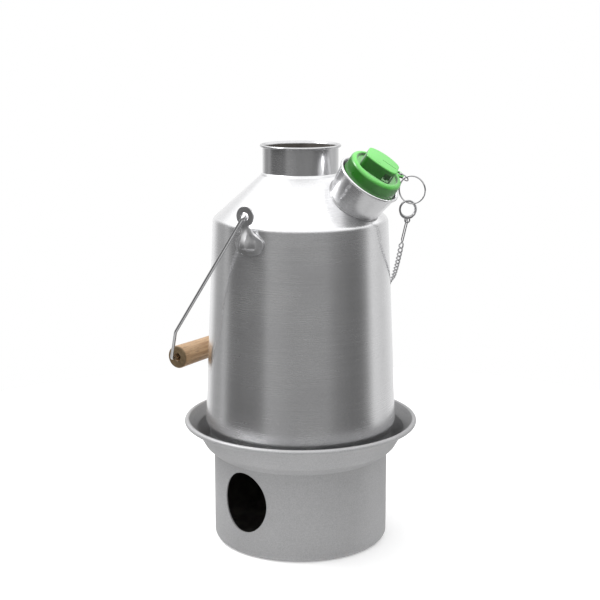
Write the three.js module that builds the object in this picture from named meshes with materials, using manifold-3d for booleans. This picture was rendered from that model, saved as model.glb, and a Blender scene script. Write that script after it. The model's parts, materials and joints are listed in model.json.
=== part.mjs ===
// A storm kettle: a double-walled aluminium water jacket round an open chimney, standing in the dish of its
// fire base. It has a side spout with a whistling stopper on a chain, and a wire bail with a wooden grip.
// Millimetres, +Z up. The origin is the middle of the base's underside, and the spout leans towards +X.
import * as THREE from "three";
import { mergeVertices } from "three/addons/utils/BufferGeometryUtils.js";
import Module from "manifold-3d";

const wasm = await Module();
wasm.setup();

const DEGREE = Math.PI / 180;
const FIT_GAP = 0.3; // clearance between pieces that touch
const BODY_SIDES = 40; // facets round the spun pieces
const WIRE_SIDES = 8;

// Fire base
const BASE_SHEET = 1.2;
const CUP_RADIUS = 67.2;
const CREASE_HEIGHT = 69;
const DISH_BEAD_RADIUS = 2;
const FIRE_HOLE_WIDTH = 40;
const FIRE_HOLE_HEIGHT = 46.5;
const FIRE_HOLE_CENTRE = 42.2;
const FIRE_HOLE_AZIMUTH = -96.5 * DEGREE;

// Kettle
const SHEET = 1;
const SHELL_FOOT = [73.3, 98]; // radius and height where the straight wall starts
const SHELL_SHOULDER = [66.25, 250.3];
const COLLAR_RADIUS = 28.5;
const COLLAR_FOOT = 284.1;
const COLLAR_TOP = 304.9;
const SKIRT_RADIUS = 69;
const SKIRT_FOOT = 72.4;

// Spout and stopper, measured along the spout's own axis from the plane of its lip
const SPOUT_LEAN = 37.7 * DEGREE;
const SPOUT_LIP = new THREE.Vector3(60.5, 0, 283.7);
const SPOUT_FLARE = 0.135;
const SPOUT_TOP_RADIUS = 23.5;
const SPOUT_FOOT_DEPTH = 34;
const SHELL_BORE_RADIUS = 21.3; // the hole in the shell, which clears the spout's foot
const STOPPER_RADIUS = 21.1;
const STOPPER_RIM = 10;
const STOPPER_FLOOR = 7.6;
const STOPPER_BAR_TOP = 17.6;
const STOPPER_BAR_ANGLE = 25 * DEGREE;
const STOPPER_CAVITY_RADIUS = 15.6;
const STOPPER_EAR_ANGLE = 70 * DEGREE;
const STOPPER_EAR_REACH = 24;
const STOPPER_EAR_PLATE = 1.6;
const STOPPER_EAR_DEPTH = 2.2; // from the rim down to the ear's lower face

// Bail and grip
const PIVOT_HEIGHT = 260;
const LUG_FACE = 72; // from the axis to the middle of the lug's plate
const LUG_PLATE = 2;
const EYE_RADIUS = 7.3;
const EYE_HOLE_RADIUS = 3;
const BAIL_WIRE_RADIUS = 1.25;
const BAIL_HANG = 36.2 * DEGREE; // from straight down, towards -X
const BAIL_REACH = 151.5;
const GRIP_LENGTH = 80;
const GRIP_RADIUS = 9;
const GRIP_BORE_RADIUS = 3;

// Stopper chain and its fittings
const CHAIN_RADIUS = 1.7;
const CHAIN_STEPS = 60;
const CHAIN_STANDOFF = 2.3; // from the shell to the middle of the chain
const BRACKET_HEIGHT = 117;

// ---- Outlines ----

// The points of a polyline whose corners are rounded. A corner is [x, y] or [x, y, radius].
function roundedPath(corners, stepAngle = 30 * DEGREE) {
  const place = ([x, y]) => new THREE.Vector2(x, y);
  return corners.flatMap((entry, i) => {
    const corner = place(entry);
    const radius = entry[2] ?? 0;
    if (radius === 0) return [corner];
    const before = place(corners.at(i - 1)).sub(corner).normalize();
    const after = place(corners[(i + 1) % corners.length]).sub(corner).normalize();
    const half = Math.acos(before.dot(after)) / 2;
    const turn = Math.PI - 2 * half;
    const toCentre = before.clone().add(after).normalize();
    const centre = corner.clone().addScaledVector(toCentre, radius / Math.sin(half));
    const from = corner.clone().addScaledVector(before, radius / Math.tan(half)).sub(centre);
    const to = corner.clone().addScaledVector(after, radius / Math.tan(half)).sub(centre);
    const steps = Math.max(1, Math.round(turn / stepAngle));
    return Array.from({ length: steps + 1 }, (_, k) => {
      const first = Math.sin((1 - k / steps) * turn) / Math.sin(turn);
      const second = Math.sin((k / steps) * turn) / Math.sin(turn);
      return centre.clone().addScaledVector(from, first).addScaledVector(to, second);
    });
  });
}

function unitBetween(a, b) {
  return b.clone().sub(a).normalize();
}

function leftOf(direction) {
  return new THREE.Vector2(-direction.y, direction.x);
}

// The path moved sideways to its left, which is the inner face of a sheet whose outer face is the path.
function offsetPath(points, distance) {
  return points.map((point, i) => {
    const arriving = leftOf(unitBetween(points[Math.max(i - 1, 0)], points[Math.max(i, 1)]));
    const last = points.length - 1;
    const leaving = leftOf(unitBetween(points[Math.min(i, last - 1)], points[Math.min(i + 1, last)]));
    const mitre = arriving.clone().add(leaving).divideScalar(1 + arriving.dot(leaving));
    return point.clone().addScaledVector(mitre, distance);
  });
}

// A spun sheet's section: its outer face, and its inner face back again.
function sheetOutline(path, thickness) {
  return [...path, ...offsetPath(path, thickness).reverse()];
}

// The same, ending in a rolled bead that stands out of the sheet's outer face.
function beadedOutline(path, thickness, beadRadius, beadSteps = 7) {
  const end = path.at(-1);
  const direction = unitBetween(path.at(-2), end);
  const inward = leftOf(direction);
  const centre = end.clone().addScaledVector(inward, thickness - beadRadius);
  const start = Math.acos((beadRadius - thickness) / beadRadius);
  const bead = Array.from({ length: beadSteps + 1 }, (_, k) => {
    const angle = start + (k / beadSteps) * (2 * Math.PI - start);
    return centre
      .clone()
      .addScaledVector(inward, beadRadius * Math.cos(angle))
      .addScaledVector(direction, -beadRadius * Math.sin(angle));
  });
  const inner = offsetPath(path, thickness).reverse();
  return [...path.slice(0, -1), ...bead, ...inner.slice(1)];
}

function closed(outline) {
  return [...outline, outline[0]];
}

// ---- Geometry ----

// The outline's (radius, height) points turned about +Z.
function turned(outline, sides = BODY_SIDES) {
  return new THREE.LatheGeometry(outline, sides).rotateX(Math.PI / 2);
}

function solid(geometry) {
  const bare = geometry.clone();
  bare.deleteAttribute("normal");
  bare.deleteAttribute("uv");
  const merged = mergeVertices(bare, 1e-3);
  const vertProperties = merged.attributes.position.array;
  const triVerts = new Uint32Array(merged.index.array);
  return new wasm.Manifold(new wasm.Mesh({ numProp: 3, vertProperties, triVerts }));
}

function surfaceOf(body) {
  const { vertProperties, triVerts } = body.getMesh();
  const geometry = new THREE.BufferGeometry();
  geometry.setAttribute("position", new THREE.BufferAttribute(vertProperties, 3));
  geometry.setIndex(new THREE.BufferAttribute(triVerts, 1));
  geometry.computeVertexNormals();
  return geometry;
}

// A path through a list of points, with one step of an extrusion to each point.
class PointPath extends THREE.Curve {
  constructor(points) {
    super();
    this.points = points;
  }

  getPoint(t, target = new THREE.Vector3()) {
    const along = t * (this.points.length - 1);
    const i = Math.min(Math.floor(along), this.points.length - 2);
    return target.lerpVectors(this.points[i], this.points[i + 1], along - i);
  }

  getPointAt(u, target) {
    return this.getPoint(u, target);
  }

  getTangentAt(u) {
    const step = 1 / (this.points.length - 1);
    return this.getPoint(Math.min(1, u + step)).sub(this.getPoint(Math.max(0, u - step))).normalize();
  }
}

function circle(radius, sides) {
  const corner = (_, k) => {
    const angle = (2 * Math.PI * k) / sides;
    return new THREE.Vector2(radius * Math.cos(angle), radius * Math.sin(angle));
  };
  return new THREE.Shape(Array.from({ length: sides }, corner));
}

// A round bar that follows the points.
function rod(points, radius, sides = WIRE_SIDES) {
  const extrudePath = new PointPath(points);
  return new THREE.ExtrudeGeometry(circle(radius, sides), { steps: points.length - 1, extrudePath });
}

// A plate cut to a flat outline, from height 0 to its thickness.
function plate(outline, thickness, holes = []) {
  const shape = new THREE.Shape(outline);
  shape.holes = holes.map((hole) => new THREE.Path(hole));
  return new THREE.ExtrudeGeometry(shape, { depth: thickness, bevelEnabled: false, curveSegments: 6 });
}

function circlePoints(x, y, radius, sides = 20) {
  return circle(radius, sides).getPoints().map((p) => new THREE.Vector2(p.x + x, p.y + y));
}

// An oval wire link round the local z axis, long in x.
function ovalLink(halfLength, halfWidth, wireRadius, segments = 20) {
  const ring = new THREE.TorusGeometry(halfWidth, wireRadius, WIRE_SIDES, segments);
  const position = ring.attributes.position;
  const stretch = halfLength - halfWidth;
  for (let i = 0; i < position.count; i++) {
    const x = position.getX(i);
    position.setX(i, x + stretch * Math.max(-1, Math.min(1, (2 * x) / halfWidth)));
  }
  return ring;
}

function frameOf(x, y, z, origin = new THREE.Vector3()) {
  return new THREE.Matrix4().makeBasis(x, y, z).setPosition(origin);
}

const UP = new THREE.Vector3(0, 0, 1);

// A frame at the origin given, whose local x is along and whose local z is as near to facing as it can be.
function linkFrame(origin, along, facing) {
  const x = along.clone().normalize();
  const y = facing.clone().cross(x).normalize();
  return frameOf(x, y, x.clone().cross(y), origin);
}

function horizontal(azimuth) {
  return new THREE.Vector3(Math.cos(azimuth), Math.sin(azimuth), 0);
}

// ---- Materials ----

const metal = (color, roughness) => new THREE.MeshStandardMaterial({ color, roughness, metalness: 1 });
const aluminium = metal(0xc9cacc, 0.32);
const satinAluminium = metal(0xa9aaab, 0.5);
const steel = metal(0x9a9b9d, 0.25);
const moulding = new THREE.MeshStandardMaterial({ color: 0x1f9a2a, roughness: 0.45, metalness: 0 });
const wood = new THREE.MeshStandardMaterial({ color: 0xb98a52, roughness: 0.6, metalness: 0 });

function piece(name, geometry, material) {
  const mesh = new THREE.Mesh(geometry, material);
  mesh.name = name;
  return mesh;
}

// ---- Fire base ----

function fireBase() {
  const outerFace = roundedPath([
    [0, 0],
    [CUP_RADIUS, 0, 5],
    [CUP_RADIUS, CREASE_HEIGHT, 1],
    [74, 74.8, 8],
    [80.9, 87.2, 4],
    [87.4, 93.6],
  ]);
  const cup = solid(turned(beadedOutline(outerFace, BASE_SHEET, DISH_BEAD_RADIUS)));
  const oval = circlePoints(0, 0, 1, 32).map((p) => {
    return new THREE.Vector2((p.x * FIRE_HOLE_WIDTH) / 2, (p.y * FIRE_HOLE_HEIGHT) / 2);
  });
  const outward = horizontal(FIRE_HOLE_AZIMUTH);
  const across = UP.clone().cross(outward);
  const cutter = plate(oval, CUP_RADIUS).applyMatrix4(
    frameOf(across, UP, outward, outward.clone().multiplyScalar(CUP_RADIUS / 2)),
  );
  cutter.translate(0, 0, FIRE_HOLE_CENTRE);
  return piece("fire_base", surfaceOf(cup.subtract(solid(cutter))), satinAluminium);
}

// ---- Kettle ----

const spoutSide = new THREE.Vector3(Math.cos(SPOUT_LEAN), 0, -Math.sin(SPOUT_LEAN));
const spoutAxis = new THREE.Vector3(Math.sin(SPOUT_LEAN), 0, Math.cos(SPOUT_LEAN));
const spoutFrame = frameOf(spoutSide, new THREE.Vector3(0, 1, 0), spoutAxis, SPOUT_LIP);

// The shell's outer face, moved out by a distance.
function shellPath(distance = 0) {
  const seamRadius = SKIRT_RADIUS + FIT_GAP + SHEET;
  const mouthRadius = COLLAR_RADIUS + FIT_GAP + SHEET;
  const face = roundedPath([
    [seamRadius, 83.5],
    [seamRadius, 87, 4],
    [SHELL_FOOT[0] + 0.1, 93, 8],
    [...SHELL_SHOULDER, 5],
    [mouthRadius, COLLAR_FOOT - SHEET],
  ]);
  return offsetPath(face, -distance);
}

function shellRadius(height) {
  const [footRadius, foot] = SHELL_FOOT;
  const [shoulderRadius, shoulder] = SHELL_SHOULDER;
  return footRadius + ((height - foot) / (shoulder - foot)) * (shoulderRadius - footRadius);
}

// A solid whose outside is the shell's outer face, moved out by a distance.
function shellFilled(distance) {
  const face = shellPath(distance);
  return solid(turned([new THREE.Vector2(0, face[0].y), ...face, new THREE.Vector2(0, face.at(-1).y)]));
}

function outerShell() {
  const shell = solid(turned(closed(sheetOutline(shellPath(), SHEET))));
  const boreLength = 60;
  const bore = new THREE.CylinderGeometry(SHELL_BORE_RADIUS, SHELL_BORE_RADIUS, boreLength, 36);
  const cutter = solid(bore.rotateX(Math.PI / 2).applyMatrix4(spoutFrame));
  const wallTop = SHELL_SHOULDER[1] - 2;
  const size = 200;
  const wallSpace = new THREE.BoxGeometry(size, size, size).translate(0, 0, wallTop - size / 2);
  return piece("outer_shell", surfaceOf(shell.subtract(cutter.subtract(solid(wallSpace)))), aluminium);
}

function chimneyFlue() {
  const outerFace = roundedPath([
    [SKIRT_RADIUS, SKIRT_FOOT],
    [SKIRT_RADIUS, 94, 10],
    [COLLAR_RADIUS, 274, 20],
    [COLLAR_RADIUS, COLLAR_TOP - 0.9, 0.6],
    [COLLAR_RADIUS + 1, COLLAR_TOP],
  ]);
  return piece("chimney_flue", turned(closed(beadedOutline(outerFace, SHEET, SHEET))), aluminium);
}

function spoutTube() {
  const radiusAt = (depth) => SPOUT_TOP_RADIUS - (depth - 1.5) * SPOUT_FLARE;
  const outerFace = roundedPath([
    [radiusAt(SPOUT_FOOT_DEPTH), -SPOUT_FOOT_DEPTH],
    [radiusAt(1.5), -1.5, 0.5],
    [radiusAt(0.9) + 0.2, -0.9],
  ]);
  const tube = turned(closed(beadedOutline(outerFace, SHEET, 0.9)), 32).applyMatrix4(spoutFrame);
  const footStandsIn = 0.1; // past the shell's inner face
  const waterSpace = shellFilled(-SHEET - footStandsIn);
  return piece("spout_tube", surfaceOf(solid(tube).subtract(waterSpace)), aluminium);
}

// A lug on the -Y side: an eye on a neck that steps in to a foot lying on the shell.
function handleLug(name, side) {
  const footLow = 233.7;
  const stem = new THREE.BoxGeometry(8, 10, LUG_PLATE).translate(0, -8, LUG_PLATE / 2);
  const disc = plate(circlePoints(0, 0, EYE_RADIUS, 28), LUG_PLATE);
  const hole = plate(circlePoints(0, 0, EYE_HOLE_RADIUS), 3 * LUG_PLATE).translate(0, 0, -LUG_PLATE);
  const standing = frameOf(
    new THREE.Vector3(1, 0, 0),
    UP,
    new THREE.Vector3(0, -1, 0),
    new THREE.Vector3(0, -LUG_FACE + LUG_PLATE / 2, PIVOT_HEIGHT),
  );
  const head = solid(disc).add(solid(stem)).subtract(solid(hole)).transform(standing.elements);

  // The step between the eye's plate and the foot, seen from the side.
  const inFace = LUG_FACE - LUG_PLATE / 2;
  const outFace = LUG_FACE + LUG_PLATE / 2;
  const footFace = shellRadius(240) + FIT_GAP;
  const step = [
    [inFace, 253],
    [footFace, 241],
    [footFace, 238],
    [footFace + LUG_PLATE, 238],
    [outFace, 253],
  ].map(([y, z]) => new THREE.Vector2(y, z));
  const stepWidth = 8;
  const across = frameOf(
    new THREE.Vector3(0, -1, 0),
    UP,
    new THREE.Vector3(-1, 0, 0),
    new THREE.Vector3(stepWidth / 2, 0, 0),
  );
  const neck = solid(plate(step, stepWidth)).transform(across.elements);

  const footOutline = roundedPath([
    [-4, 252, 0],
    [-4.6, 246.5, 4],
    [-13, 240, 3.5],
    [-10, footLow + 1.6, 4],
    [0, footLow - 1.2, 12],
    [10, footLow + 1.6, 4],
    [13, 240, 3.5],
    [4.6, 246.5, 4],
    [4, 252, 0],
  ]);
  const towardsFront = frameOf(new THREE.Vector3(1, 0, 0), UP, new THREE.Vector3(0, -1, 0));
  const footPrism = solid(plate(footOutline, 2 * LUG_FACE)).transform(towardsFront.elements);
  const footSheet = shellFilled(FIT_GAP + LUG_PLATE - 0.4).subtract(shellFilled(FIT_GAP));
  const foot = footSheet.intersect(footPrism);

  const lug = head.add(neck).add(foot).subtract(shellFilled(FIT_GAP));
  const geometry = surfaceOf(lug);
  if (side > 0) geometry.rotateZ(Math.PI);
  return piece(name, geometry, aluminium);
}

// ---- Bail ----

const bailDown = new THREE.Vector3(-Math.sin(BAIL_HANG), 0, -Math.cos(BAIL_HANG));
const pivot = new THREE.Vector3(0, 0, PIVOT_HEIGHT);
const gripCentre = pivot.clone().addScaledVector(bailDown, BAIL_REACH);

function bailWire() {
  const hookRadius = 2.59;
  const tail = 15;
  const half = [
    [tail, LUG_FACE - 2.55],
    [0, LUG_FACE - 2.55, hookRadius],
    [0, LUG_FACE + 2.65, hookRadius],
    [116.6, 67.3, 9],
    [BAIL_REACH, 47, 7],
  ];
  const mirrored = half.map(([along, y, radius]) => [along, -y, radius]).reverse();
  const points = roundedPath([...half, ...mirrored]).map((p) => {
    return pivot.clone().addScaledVector(bailDown, p.x).setY(p.y);
  });
  return piece("bail_wire", rod(points, BAIL_WIRE_RADIUS), steel);
}

function grip() {
  const half = GRIP_LENGTH / 2;
  const section = roundedPath([
    [GRIP_BORE_RADIUS, -half],
    [GRIP_RADIUS, -half, 1.5],
    [GRIP_RADIUS, half, 1.5],
    [GRIP_BORE_RADIUS, half],
  ]);
  const geometry = turned(closed(section), 24).rotateX(Math.PI / 2);
  geometry.translate(gripCentre.x, 0, gripCentre.z);
  return piece("bail_grip", geometry, wood);
}

// ---- Stopper ----

function stopperBar() {
  const halfLength = 12.2;
  const halfWidth = 7.6; // at the bar's ends
  const frontBow = 10.6;
  const backBow = 16;
  const outline = new THREE.Shape();
  outline.moveTo(-halfLength, -halfWidth);
  outline.quadraticCurveTo(0, -frontBow, halfLength, -halfWidth);
  outline.lineTo(halfLength, halfWidth);
  outline.quadraticCurveTo(0, backBow, -halfLength, halfWidth);
  outline.closePath();
  const edge = 0.8;
  const height = STOPPER_BAR_TOP - STOPPER_FLOOR;
  const bar = new THREE.ExtrudeGeometry(outline, {
    depth: height,
    bevelThickness: edge,
    bevelSize: edge,
    bevelSegments: 2,
    curveSegments: 5,
  });
  bar.translate(0, 0, STOPPER_FLOOR - edge);
  const outlet = new THREE.BoxGeometry(5, 8, 5.6).translate(8.2, -8.4, STOPPER_FLOOR + 2.9);
  return [bar, outlet].map((geometry) => solid(geometry.rotateZ(STOPPER_BAR_ANGLE)));
}

function stopperEar() {
  const halfWidth = 3.5;
  const outline = roundedPath([
    [STOPPER_RADIUS - 3, -halfWidth],
    [STOPPER_EAR_REACH + halfWidth, -halfWidth, halfWidth - 0.01],
    [STOPPER_EAR_REACH + halfWidth, halfWidth, halfWidth - 0.01],
    [STOPPER_RADIUS - 3, halfWidth],
  ]);
  const hole = circlePoints(STOPPER_EAR_REACH, 0, 2.3, 16);
  const ear = plate(outline, STOPPER_EAR_PLATE, [hole]).translate(0, 0, STOPPER_RIM - STOPPER_EAR_DEPTH);
  return solid(ear.rotateZ(STOPPER_EAR_ANGLE));
}

function stopperCap() {
  const outline = roundedPath([
    [0, 3],
    [STOPPER_CAVITY_RADIUS, 3],
    [STOPPER_CAVITY_RADIUS, -16],
    [18.9, -16, 1.2],
    [21.4, -1.2, 2],
    [STOPPER_RADIUS, 0.4, 1],
    [STOPPER_RADIUS, STOPPER_RIM, 2.8],
    [17.4, STOPPER_RIM, 0.8],
    [17, STOPPER_FLOOR, 0.6],
    [0, STOPPER_FLOOR],
  ]);
  const [bar, outlet] = stopperBar();
  const airway = new THREE.CylinderGeometry(1.6, 1.6, 10, 12).rotateX(Math.PI / 2);
  airway.translate(8.2, -5.4, 5).rotateZ(STOPPER_BAR_ANGLE);
  const body = solid(turned(outline, 28)).add(bar).add(stopperEar());
  return piece("stopper_cap", surfaceOf(body.subtract(outlet).subtract(solid(airway))), moulding);
}

// A thin disc with a hole in its middle, standing at a depth inside the stopper.
function whistleDisc(name, depth) {
  const outline = plate(circlePoints(0, 0, 15.2, 24), 0.8, [circlePoints(0, 0, 1.6, 12)]);
  return piece(name, outline.translate(0, 0, -depth), aluminium);
}

function whistleSpacer(depth, height) {
  const outline = plate(circlePoints(0, 0, 15.2, 24), height, [circlePoints(0, 0, 13.6, 24)]);
  return piece("whistle_spacer", outline.translate(0, 0, -depth), aluminium);
}

function stopperParts() {
  const group = new THREE.Group();
  group.add(
    stopperCap(),
    whistleDisc("whistle_disc_lower", 13.6),
    whistleSpacer(12.5, 4),
    whistleDisc("whistle_disc_upper", 8.2),
  );
  group.applyMatrix4(spoutFrame);
  return group;
}

// ---- Chain and fittings ----

const earHole = new THREE.Vector3(
  STOPPER_EAR_REACH * Math.cos(STOPPER_EAR_ANGLE),
  STOPPER_EAR_REACH * Math.sin(STOPPER_EAR_ANGLE),
  STOPPER_RIM - STOPPER_EAR_DEPTH + STOPPER_EAR_PLATE / 2,
).applyMatrix4(spoutFrame);

const splitRingCentre = new THREE.Vector3(82.5, 23.4, 274.6);
const SPLIT_RING_RADIUS = 10.15;
const SPLIT_RING_WIRE = 0.6;
const SPLIT_RING_AZIMUTH = 8 * DEGREE;
const claspCentre = new THREE.Vector3(79.6, 22.6, 260.2);
const CLASP_RADIUS = 6.2;
const CLASP_AZIMUTH = 50 * DEGREE;
const connectorTop = new THREE.Vector3(79.35, 22.35, 252.35);
const connectorFoot = new THREE.Vector3(74.7, 23.2, 235.5);

function stopperLink() {
  const along = new THREE.Vector3(0.89, 0, -0.45).normalize();
  const halfLength = 4.2;
  const centre = earHole.clone().addScaledVector(along, halfLength - 0.4);
  const facing = new THREE.Vector3(-0.45, -1.2, -0.89);
  const link = ovalLink(halfLength, 2.6, 0.5).applyMatrix4(linkFrame(centre, along, facing));
  return piece("stopper_link", link, steel);
}

function splitRing() {
  const ring = new THREE.TorusGeometry(SPLIT_RING_RADIUS, SPLIT_RING_WIRE, WIRE_SIDES, 24);
  ring.applyMatrix4(frameOf(
    horizontal(SPLIT_RING_AZIMUTH),
    UP,
    horizontal(SPLIT_RING_AZIMUTH).cross(UP),
    splitRingCentre,
  ));
  return piece("split_ring", ring, steel);
}

const claspFrame = frameOf(
  horizontal(CLASP_AZIMUTH),
  UP,
  horizontal(CLASP_AZIMUTH).cross(UP),
  claspCentre,
);

// Points of an arc in the local xy plane.
function arc(radius, from, to, steps) {
  return Array.from({ length: steps + 1 }, (_, k) => {
    const angle = from + (k / steps) * (to - from);
    return new THREE.Vector3(radius * Math.cos(angle), radius * Math.sin(angle), 0);
  });
}

// The spring clasp's hook: an open ring with a small eye under it.
function claspHook() {
  const hook = solid(rod(arc(CLASP_RADIUS, 52 * DEGREE, 308 * DEGREE, 18), 0.65));
  const eye = new THREE.TorusGeometry(1.9, 0.5, WIRE_SIDES, 16).translate(-0.3, -8.1, 0);
  return piece("clasp_hook", surfaceOf(hook.add(solid(eye))).applyMatrix4(claspFrame), steel);
}

// The sprung gate that closes the hook's open side.
function claspGate() {
  const gate = rod(arc(CLASP_RADIUS, -47 * DEGREE, 47 * DEGREE, 6), 1.1, 10);
  return piece("clasp_gate", gate.applyMatrix4(claspFrame), steel);
}

function connectorLink() {
  const along = connectorFoot.clone().sub(connectorTop);
  const centre = connectorTop.clone().add(connectorFoot).multiplyScalar(0.5);
  const link = ovalLink(along.length() / 2, 1.5, 0.4);
  return piece("connector_link", link.applyMatrix4(linkFrame(centre, along, horizontal(CLASP_AZIMUTH))), steel);
}

// The chain hangs from the connector, meets the shell, and sags round the back to its bracket.
// Each point is [x, y, height].
const chainFree = [
  [74.5, 23.2, 234.4],
  [71.6, 26, 227.2],
  [67.6, 30.4, 219.6],
  [62.6, 36.4, 211.8],
  [57, 43.2, 204.2],
];
// Where it lies on the shell, each point is [azimuth in degrees, height], and [.., .., lift] where it leaves it.
const chainOnShell = [
  [45.5, 196.5],
  [52.5, 187.5],
  [60.5, 177.5],
  [69.5, 166.8],
  [79.5, 156],
  [90.5, 145.2],
  [102, 135.2],
  [113.5, 126.8],
  [125, 120.2],
  [136, 115.4],
  [146, 112.2],
  [154.5, 110.2],
  [162, 109.2],
  [170, 109.2, 0.3],
  [175, 110, 1.2],
  [178.4, 111.2, 2],
];

function chainRoute() {
  const free = chainFree.map((place) => new THREE.Vector3(...place));
  const lying = chainOnShell.map(([azimuth, height, lift = 0]) => {
    const radius = shellRadius(height) + CHAIN_STANDOFF + lift;
    return horizontal(azimuth * DEGREE).multiplyScalar(radius).setZ(height);
  });
  return new THREE.CatmullRomCurve3([...free, ...lying]);
}

function stopperChain() {
  return piece("stopper_chain", rod(chainRoute().getSpacedPoints(CHAIN_STEPS), CHAIN_RADIUS), steel);
}

const BRACKET_LOOP_REACH = 4.2;
const bracketLoopEnd = new THREE.Vector3(-shellRadius(BRACKET_HEIGHT) - BRACKET_LOOP_REACH, 0, BRACKET_HEIGHT);

// A curved pad on the shell with a wire loop standing out of it.
function chainBracket() {
  const outline = roundedPath([
    [-9, -5, 2.5],
    [9, -5, 2.5],
    [9, 5, 2.5],
    [-9, 5, 2.5],
  ]);
  const behind = frameOf(
    new THREE.Vector3(0, -1, 0),
    UP,
    new THREE.Vector3(-1, 0, 0),
    new THREE.Vector3(0, 0, BRACKET_HEIGHT),
  );
  const prism = solid(plate(outline, 100)).transform(behind.elements);
  const pad = shellFilled(FIT_GAP + 1.2).subtract(shellFilled(FIT_GAP)).intersect(prism);
  const root = -shellRadius(BRACKET_HEIGHT) - FIT_GAP - 0.3;
  const halfLoop = 4;
  const loop = roundedPath([
    [root, -halfLoop],
    [bracketLoopEnd.x, -halfLoop, 3.5],
    [bracketLoopEnd.x, halfLoop, 3.5],
    [root, halfLoop],
  ]).map((p) => new THREE.Vector3(p.x, p.y, BRACKET_HEIGHT));
  const standing = solid(rod(loop, 0.7)).subtract(shellFilled(FIT_GAP));
  return piece("chain_bracket", surfaceOf(pad.add(standing)), aluminium);
}

function chainEndRing() {
  const ring = new THREE.TorusGeometry(2.4, 0.45, WIRE_SIDES, 16).rotateX(Math.PI / 2);
  ring.translate(bracketLoopEnd.x, bracketLoopEnd.y, bracketLoopEnd.z - 1);
  return piece("chain_end_ring", ring, steel);
}

const kettle = new THREE.Group();
kettle.add(
  outerShell(),
  chimneyFlue(),
  spoutTube(),
  handleLug("front_handle_lug", -1),
  handleLug("rear_handle_lug", 1),
  chainBracket(),
  chainEndRing(),
  stopperChain(),
);

const bail = new THREE.Group();
bail.add(bailWire(), grip());

const stopper = new THREE.Group();
stopper.add(stopperParts(), stopperLink(), splitRing(), claspHook(), claspGate(), connectorLink());

const stove = new THREE.Group();
stove.add(fireBase(), kettle, bail, stopper);

export default stove;
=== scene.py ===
"""The looks of a storm kettle on its fire base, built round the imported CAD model.

Lengths are in millimetres, as in the CAD source, until make() and the camera turn them into metres.
"""
import json
import math

import bpy
from mathutils import Matrix, Vector, geometry


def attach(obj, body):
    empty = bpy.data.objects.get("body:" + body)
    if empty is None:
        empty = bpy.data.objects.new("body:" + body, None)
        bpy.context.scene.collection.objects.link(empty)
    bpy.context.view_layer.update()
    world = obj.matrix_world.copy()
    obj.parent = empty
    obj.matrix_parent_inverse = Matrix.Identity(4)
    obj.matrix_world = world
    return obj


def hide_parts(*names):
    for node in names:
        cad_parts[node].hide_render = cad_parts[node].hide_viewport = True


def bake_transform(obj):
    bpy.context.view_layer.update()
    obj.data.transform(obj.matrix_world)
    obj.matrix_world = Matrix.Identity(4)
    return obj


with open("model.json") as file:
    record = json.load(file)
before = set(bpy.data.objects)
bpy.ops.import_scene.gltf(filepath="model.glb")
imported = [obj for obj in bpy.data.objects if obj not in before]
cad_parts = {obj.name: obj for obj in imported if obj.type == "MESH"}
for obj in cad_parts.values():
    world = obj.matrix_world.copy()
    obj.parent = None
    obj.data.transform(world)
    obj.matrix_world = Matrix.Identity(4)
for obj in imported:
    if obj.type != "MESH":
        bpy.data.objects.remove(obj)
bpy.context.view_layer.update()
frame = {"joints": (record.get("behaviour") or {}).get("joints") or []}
scene = bpy.context.scene
joints = {joint["name"]: joint for joint in frame["joints"]}

MM = 0.001
SIDES = 192  # facets round the large spun pieces
STEP = math.radians(6)  # turn of one facet on a rounded corner
SHARP = math.radians(32)  # edges that turn more than this are shaded sharp
ON_THE_AXIS = 0.01  # a radius below this is none
UP = Vector((0, 0, 1))

# Fire base
BASE_SHEET = 1.2
CUP_RADIUS = 67.2
CREASE_HEIGHT = 69
DISH_BEAD = 2
FIRE_HOLE_SIZE = (40, 46.5)
FIRE_HOLE_CENTRE = 42.2
FIRE_HOLE_AZIMUTH = math.radians(-96.5)

# Kettle
SHEET = 1
SEAM_GAP = 0.3
SHELL_FOOT = Vector((73.3, 98))  # radius and height where the straight wall starts
SHELL_SHOULDER = Vector((66.25, 250.3))
SKIRT_RADIUS = 69
SKIRT_FOOT = 72.4
COLLAR_RADIUS = 28.5
COLLAR_FOOT = 284.1
COLLAR_TOP = 304.9

# Spout and stopper, measured along the spout's axis from its lip
SPOUT_AXIS = Vector(joints["stopper_pull"]["axis"]).normalized()
SPOUT_LIP = Vector((60.5, 0, 283.7))
SPOUT_FLARE = 0.135
SPOUT_TOP_RADIUS = 23.5
SPOUT_LIP_CURL = 1.5  # depth of the curled lip, where the straight flare ends
SPOUT_FOOT_DEPTH = 34
SHELL_BORE_RADIUS = 21.3
STOPPER_RADIUS = 21.1
STOPPER_RIM = 10
STOPPER_FLOOR = 7.6
STOPPER_BAR_TOP = 17.6
STOPPER_BAR_ANGLE = math.radians(25)
STOPPER_EAR_ANGLE = math.radians(70)
STOPPER_EAR_REACH = 24
STOPPER_EAR_LOW = 7.8
STOPPER_EAR_PLATE = 1.6

# Bail and grip
PIVOT = Vector(joints["bail_swing"]["pos_m"]) / MM
GRIP_CENTRE = Vector(joints["grip_spin"]["pos_m"]) / MM
BAIL_DOWN = (GRIP_CENTRE - PIVOT).normalized()
BAIL_REACH = (GRIP_CENTRE - PIVOT).length
BAIL_WIRE_RADIUS = 1.25
LUG_FACE = 72
LUG_PLATE = 1.8
EYE_RADIUS = 7.3
EYE_HOLE_RADIUS = 3
GRIP_LENGTH = 80
GRIP_RADIUS = 9
GRIP_BORE_RADIUS = 3

# Chain and its fittings
CHAIN_STANDOFF = 2.3  # from the shell to the middle of the route
LINK_PITCH = 4.3
LINK_HALF_LENGTH = 2.55
LINK_HALF_WIDTH = 1.4
LINK_TWIST = 0.74
LINK_WIRE = 0.58
BRACKET_HEIGHT = 117
BRACKET_REACH = 4.2

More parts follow.
